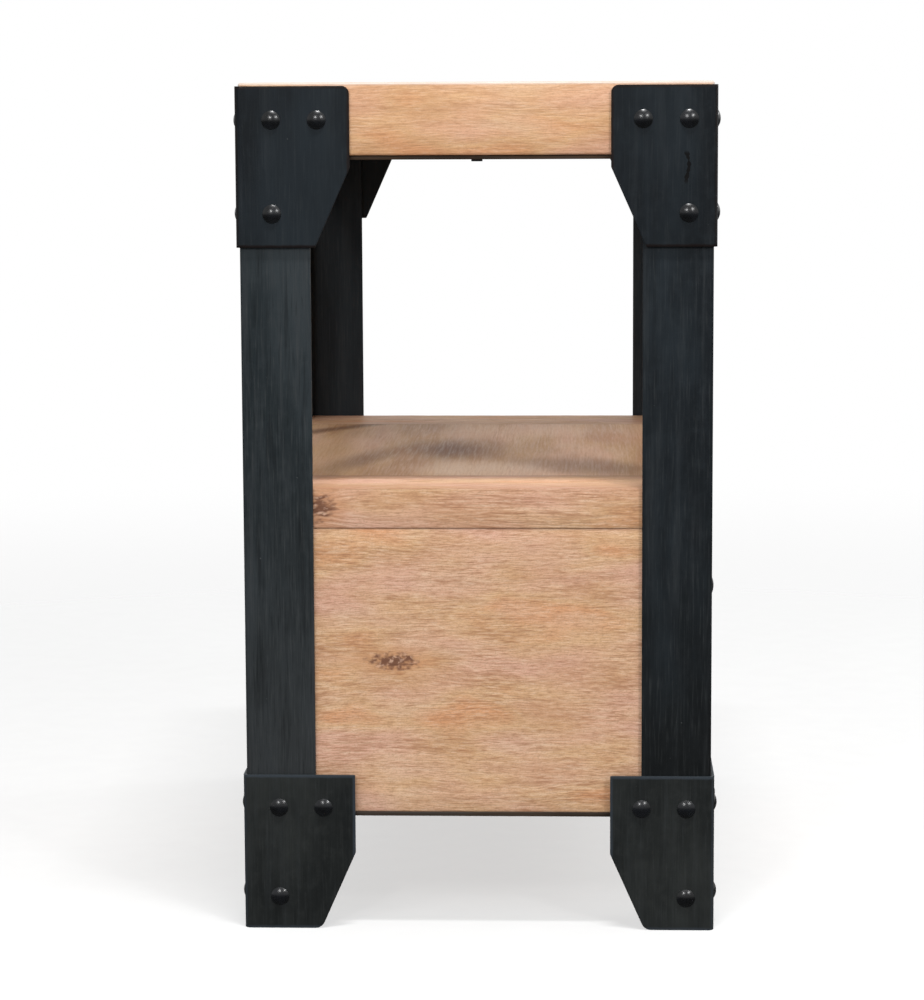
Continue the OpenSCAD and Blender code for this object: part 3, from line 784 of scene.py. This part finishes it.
def bracket_piece(node, material):
    """A plate bent round a corner of the frame, with a slanted inner edge on each flange."""
    is_top = node.startswith("top")
    free_r, slant_r = (TOP_FREE_R, TOP_SLANT_R) if is_top else (FOOT_FREE_R, FOOT_SLANT_R)
    bm, lower_edge = plate_mesh(bracket_stations(node, free_r, slant_r))
    if not is_top:
        bmesh.ops.bevel(
            bm, geom=lower_edge, offset=FOOT_EDGE_R, offset_type="OFFSET", segments=3, profile=0.5,
            affect="EDGES", clamp_overlap=True,
        )
    bevel_sharp(bm, STEEL_ARRIS, angle=55)
    piece_from(bm, "shaped_" + node, material, body_of(node), [node])


def head_places(node):
    """A matrix for each nail or rivet, with Z out of the frame and the origin under its head. The
    heads' tips reach the sides of the node's box, which tells their directions."""
    box_low, box_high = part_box(node)
    places = []
    for low, high in islands(node):
        middle = (low + high) / 2
        gaps = [min(low[i] - box_low[i], box_high[i] - high[i]) for i in range(2)]
        axis = gaps.index(min(gaps))
        sign = 1 if middle[axis] > 0 else -1
        out = Vector([sign if i == axis else 0 for i in range(3)])
        tip = (high if sign > 0 else low)[axis]
        seat = middle.copy()
        seat[axis] = tip - sign * DOME_H
        turn = Vector((0, 0, 1)).rotation_difference(out).to_matrix().to_4x4()
        places.append(Matrix.Translation(seat) @ turn)
    return places


def domed_head(shank_l, tail_r=0.0, tail_h=0.0):
    """A domed head with a low upright rim on a plain shank, with a flat tail on a rivet."""
    profile = [(0, -shank_l - tail_h)]
    if tail_r:
        profile += [(tail_r, -shank_l - tail_h), (tail_r, -shank_l)]
    profile += [(SHANK_R, -shank_l)]
    profile += [(SHANK_R, 0), (DOME_R, 0), (DOME_R, DOME_RIM)]
    ball = (DOME_R**2 + (DOME_H - DOME_RIM) ** 2) / (2 * (DOME_H - DOME_RIM))
    start = math.acos(DOME_R / ball)
    for k in range(1, 9):
        angle = start + (math.pi / 2 - start) * k / 9
        profile.append((ball * math.cos(angle), DOME_H - ball + ball * math.sin(angle)))
    profile.append((0, DOME_H))
    return lathe(profile)


# ---- Build ----

gloss = gloss_black("gloss_black")
zinc_plate = zinc("zinc_plate")
leg_steel = painted_steel("leg_steel", dark=srgb(22, 28, 33), light=srgb(36, 44, 50), footing=-1.0)
# The back leg of the left end is coloured lighter than the other legs, as painted light from the lamps on
# its side; it is also more scratched, and lighter towards its foot.
lit_scratched_leg_steel = painted_steel(
    "lit_scratched_leg_steel", dark=srgb(32, 40, 44), light=srgb(50, 57, 61), brushed=0.5, footing=0.7,
)
# Shaded and lit copies of one steel coat: the top brackets' coat is painted darker, and the foot brackets'
# lighter and greyer, than the legs', as painted shade and painted light.
SHADED_TOP_COAT = {"dark": srgb(14, 20, 25), "light": srgb(28, 36, 42), "brushed": 0.15}
LIT_FOOT_COAT = {"dark": srgb(29, 32, 32), "light": srgb(48, 51, 50), "brushed": 0.2}
# The straps' coats are brown as a painted reflection of the wood beside them on the black steel.
BOX_STRAP_WOOD_REFLECTION_COAT = {"dark": srgb(44, 35, 27), "light": srgb(66, 53, 41)}
TOP_STRAP_WOOD_REFLECTION_COAT = {"dark": srgb(58, 45, 33), "light": srgb(84, 66, 50)}
GOUGED_BRACKET = "top_bracket_front_left"
GOUGE = (-0.122, 0.440, 0.461)   # y, lowest z and highest z


def bracket_coat(node):
    """Every bracket has a coat of its own, with painted light along its edges: shade and reflected wood
    on the top brackets, a highlight on the foot brackets.
    """
    low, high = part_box(node)
    is_top = node.startswith("top")
    # Painted light on the edges: dark brown for shade and reflected wood on the top brackets, pale for a
    # highlight on the foot brackets.
    rim = (low, high, srgb(24, 15, 13) if is_top else srgb(52, 59, 66))
    gouge = GOUGE if node == GOUGED_BRACKET else None
    return painted_steel("coat_" + node, gouge=gouge, rim=rim, **(SHADED_TOP_COAT if is_top else LIT_FOOT_COAT))


for node in frame["nodes"]:
    if node.startswith("leg_"):
        leg_piece(node, lit_scratched_leg_steel if node == "leg_back_left" else leg_steel)
    elif "_bracket_" in node:
        bracket_piece(node, bracket_coat(node))
    elif "_strap_" in node:
        low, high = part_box(node)
        mesh = board_mesh(low, high, STEEL_ARRIS, wobble=0.0, step=0.06)
        along = "x" if high.x - low.x > high.y - low.y else "y"
        coat = TOP_STRAP_WOOD_REFLECTION_COAT if node.startswith("top") else BOX_STRAP_WOOD_REFLECTION_COAT
        material = painted_steel("coat_" + node, along=along, **coat)
        piece_from(mesh, "shaped_" + node, material, body_of(node), [node])

heads = {"bracket_nails": domed_head(13 * MM), "bracket_rivets": domed_head(5 * MM, 4 * MM, 2 * MM)}
for node, head in heads.items():
    copies(head, head_places(node), "domed_" + node, gloss, node)

# (along, across, half length, half width, slope, strength, colour) of each streak
SHELF_STREAKS = (
    (-0.012, 0.026, 0.070, 0.040, 0.10, 0.90, DARK_STREAK),
    (0.120, 0.106, 0.085, 0.015, -0.75, 0.85, DARK_STREAK),
    (-0.060, 0.075, 0.085, 0.020, -0.30, 0.55, DARK_STREAK),
    (0.060, -0.080, 0.060, 0.045, 0.00, 0.40, srgb(220, 160, 128)),
    (-0.020, 0.104, 0.060, 0.020, 0.00, 0.50, srgb(206, 166, 108)),
    (-0.100, -0.070, 0.050, 0.055, 0.70, 0.50, DARK_STREAK),
    (-0.110, 0.010, 0.050, 0.055, 0.00, 0.75, PALE_STREAK),
    # This wide pale patch at the shelf's far end is a painted sheen, not a stain.
    (0.110, -0.020, 0.060, 0.120, 0.00, 0.50, srgb(240, 200, 168)),
)
TOP_OUTLINE = (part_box("tabletop_end_left")[0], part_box("tabletop_end_right")[1])
# Painted light on the boards: a pale painted highlight along the tabletop's upper arrises, dark arrises
# painting shade on the shelf, and painted shade darkening the upper faces of the shelf's end strips
# towards their edges.
TOP_END = {"palette": TOP_SAPWOOD, "contrast": 0.65, "arris_highlight_or_shade": 0.95, "outline": TOP_OUTLINE}
SHELF_END = {"straight": 1.5, "contrast": 1.05, "painted_edge_shade": 0.4, "arris_highlight_or_shade": -0.25}

# Grain direction, the direction that knots run in, and what differs from plain sapwood. A knot is
# (along, across, half length, half width).
BOARDS = {
    "tabletop": ("x", "z", {
        "staves": 4, "palette": HEARTWOOD, "straight": 2.0, "arris_highlight_or_shade": 0.5, "outline": TOP_OUTLINE,
    }),
    "tabletop_end_left": ("y", "x", TOP_END),
    "tabletop_end_right": ("y", "x", TOP_END),
    "shelf": ("x", "z", {
        "palette": HEARTWOOD, "straight": 2.5, "contrast": 0.3, "streaks": SHELF_STREAKS, "arris_highlight_or_shade": -0.25,
    }),
    "shelf_end_left": ("y", "x", {"knots": ((0.0920, 0.2525, 0.008, 0.008),), **SHELF_END}),
    "shelf_end_right": ("y", "x", {**SHELF_END, "painted_edge_shade": 0.1}),
    "end_panel_left": ("y", "x", {"knots": ((0.050, 0.161, 0.015, 0.0048),)}),
    "end_panel_right": ("y", "x", {"knots": ((-0.062, 0.205, 0.012, 0.005),)}),
    "bottom_board": ("x", "z", {"staves": 3}),
    "back_panel": ("x", "y", {"staves": 2, "knots": ((0.071, 0.142, 0.011, 0.005),)}),
    "drawer_front": ("x", "y", {"knots": ((-0.092, 0.135, 0.013, 0.005),)}),
    "drawer_side_left": ("y", "x", {}),
    "drawer_side_right": ("y", "x", {}),
    "drawer_back": ("x", "y", {}),
    "packer_left": ("y", "x", {}),
    "packer_right": ("y", "x", {}),
}


def joint_sides(node):
    """The ends of a board, as signs of X, that butt against an end strip or the board's middle."""
    if node in ("tabletop", "shelf"):
        return (-1, 1)
    if node in ("tabletop_end_left", "shelf_end_left"):
        return (1,)
    if node in ("tabletop_end_right", "shelf_end_right"):
        return (-1,)
    return ()


def board_extent(node):
    """The board's box, without the tongues that run into its end strips."""
    low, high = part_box(node)
    if node in ("tabletop", "shelf"):
        low.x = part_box(node + "_end_left")[1].x
        high.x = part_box(node + "_end_right")[0].x
    return low, high


for seed, (node, (grain, through, looks)) in enumerate(BOARDS.items(), start=1):
    low, high = board_extent(node)
    material = wood("wood_" + node, grain, through, low, high, float(seed), **looks)
    sides = joint_sides(node)
    rounded = [-side for side in sides] if node.startswith("shelf_end") else ()
    arris = TABLETOP_ARRIS if node.startswith("tabletop") else WOOD_ARRIS
    mesh = board_mesh(low, high, arris, sides, rounded)
    piece_from(mesh, "shaped_" + node, material, body_of(node), [node])


def recolour(nodes, material):
    """Gives CAD nodes that keep their shape a better material."""
    for node in nodes:
        for slot in frame["nodes"][node].material_slots:
            slot.material = material


for seed, node in enumerate(("drawer_bottom", "box_dowels", "drawer_dowels"), start=31):
    low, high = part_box(node)
    recolour([node], wood("wood_" + node, "y", "z", low, high, float(seed)))
recolour(["tabletop_screws", "box_screws"], gloss)
zinc_nodes = [n for n in frame["nodes"] if n.startswith("slide_")] + ["packer_screws", "knob_screw"]
recolour(zinc_nodes, zinc_plate)


KNOB_BALL_R = 13.3 * MM
KNOB_WIDEST = 12.4 * MM      # height at which its head starts to round in
# (radius, height) up the collar and the neck, in millimetres
KNOB_STEM = (
    (0, 0), (7.6, 0), (8.0, 0.4), (8.0, 1.5), (7.5, 2.0), (6.3, 2.4), (5.6, 3.4), (5.5, 6.2), (6.2, 7.8),
    (8.6, 9.4),
)


def knob_piece():
    """A turned mushroom knob on a collar, with a rounded rim and a head that is part of a ball."""
    low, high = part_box("knob")
    radius = (high.x - low.x) / 2
    length = high.y - low.y
    profile = [(r * MM, h * MM) for r, h in KNOB_STEM]
    profile += [(radius - 0.8 * MM, 10.9 * MM), (radius - 0.1 * MM, 11.7 * MM)]
    start = math.asin((KNOB_WIDEST - (length - KNOB_BALL_R)) / KNOB_BALL_R)
    for k in range(12):
        angle = start + (math.pi / 2 - start) * k / 12
        height = length - KNOB_BALL_R + KNOB_BALL_R * math.sin(angle)
        profile.append((KNOB_BALL_R * math.cos(angle), height))
    profile.append((0, length))
    centre = (low + high) / 2
    place = Matrix.Translation((centre.x, high.y, centre.z)) @ Matrix.Rotation(math.pi / 2, 4, "X")
    copies(lathe(profile, 48), [place], "turned_knob", gloss, "knob")


knob_piece()


# ---- Floor, light and camera ----

FLOOR_HALF = 2.4
NEAR_END = (-0.2, 0.0, 0.3)
CAMERA_PLACE = (-2.0286, -0.0659, 0.4957)
CAMERA_TURN = (2.354, -7.461, -0.263)   # yaw, pitch and roll, in degrees
CAMERA_LENS = 112.9                     # in millimetres, on a sensor of this width
CAMERA_SENSOR = 36.0


def floor():
    """The floor isn't reflected, so that the lower halves of the domed heads stay dark."""
    bm = bmesh.new()
    bmesh.ops.create_grid(bm, x_segments=2, y_segments=2, size=FLOOR_HALF)
    mesh = bpy.data.meshes.new("floor")
    bm.to_mesh(mesh)
    bm.free()
    mesh.materials.append(pale_floor("pale_floor"))
    ground = bpy.data.objects.new("floor", mesh)
    bpy.context.scene.collection.objects.link(ground)
    ground.visible_glossy = False


def softbox(name, place, target, width, height, power, mirrored=True):
    """A rectangular lamp that faces the target. mirrored is whether glossy surfaces show it."""
    data = bpy.data.lights.new(name, "AREA")
    data.shape = "RECTANGLE"
    data.size, data.size_y, data.energy = width, height, power
    light = bpy.data.objects.new(name, data)
    light.location = place
    light.rotation_euler = (Vector(target) - Vector(place)).to_track_quat("-Z", "Y").to_euler()
    light.visible_glossy = mirrored
    bpy.context.scene.collection.objects.link(light)


def surroundings():
    """A white backdrop. As a light it is brighter beyond the table's right end than behind the viewer,
    and dim from below."""
    world = bpy.data.worlds.new("studio")
    t = Tree(world)
    split = t.nodes.new("ShaderNodeSeparateXYZ")
    t.links.new(t.nodes.new("ShaderNodeTexCoord").outputs["Generated"], split.inputs[0])
    x, _, z = split.outputs
    light = t.nodes.new("ShaderNodeBackground")
    sideways = t.add(t.mul(x, 0.28), t.add(t.mul(z, -0.20), 0.66))
    t.put(light.inputs["Strength"], t.mul(sideways, t.smooth(z, -0.10, 0.05, 0.1, 1.0)))
    backdrop = t.nodes.new("ShaderNodeBackground")
    t.put(backdrop.inputs["Color"], (1.0, 1.0, 1.0, 1.0))
    pick = t.nodes.new("ShaderNodeMixShader")
    t.put(pick.inputs[0], t.nodes.new("ShaderNodeLightPath").outputs["Is Camera Ray"])
    t.put(pick.inputs[1], light.outputs[0])
    t.put(pick.inputs[2], backdrop.outputs[0])
    output = t.nodes.new("ShaderNodeOutputWorld")
    t.put(output.inputs["Surface"], pick.outputs[0])
    bpy.context.scene.world = world


def studio():
    surroundings()
    bpy.context.scene.view_settings.view_transform = "Standard"
    softbox("overhead", (-0.66, -0.13, 2.2), (-0.20, 0.0, 0.26), 0.5, 0.12, 27.0)
    softbox("left_of_viewer", (-1.57, 0.85, 1.30), NEAR_END, 0.6, 0.6, 5.5, mirrored=False)
    softbox("right_of_viewer", (-1.20, -0.95, 1.60), NEAR_END, 0.6, 0.6, 4.0, mirrored=False)
    softbox("left_glint", (-1.77, 0.39, 1.10), NEAR_END, 0.18, 0.18, 5.2)
    softbox("right_glint", (-1.44, -0.88, 1.15), NEAR_END, 0.18, 0.18, 5.2)
    softbox("drawer_side", (0.75, -1.6, 1.2), (0.0, 0.0, 0.3), 0.6, 0.6, 8.0)


def camera():
    """The photograph's view: square to the left end, level with the tabletop and a little to the front."""
    data = bpy.data.cameras.new("camera")
    data.lens = CAMERA_LENS
    data.sensor_width = CAMERA_SENSOR
    data.clip_end = 50.0
    view = bpy.data.objects.new("camera", data)
    yaw, pitch, roll = (math.radians(angle) for angle in CAMERA_TURN)
    heading = Vector((math.cos(yaw) * math.cos(pitch), math.sin(yaw) * math.cos(pitch), math.sin(pitch)))
    turn = heading.to_track_quat("-Z", "Y").to_matrix().to_4x4() @ Matrix.Rotation(roll, 4, "Z")
    view.matrix_world = Matrix.Translation(Vector(CAMERA_PLACE)) @ turn
    bpy.context.scene.collection.objects.link(view)
    bpy.context.scene.camera = view


floor()
studio()
camera()
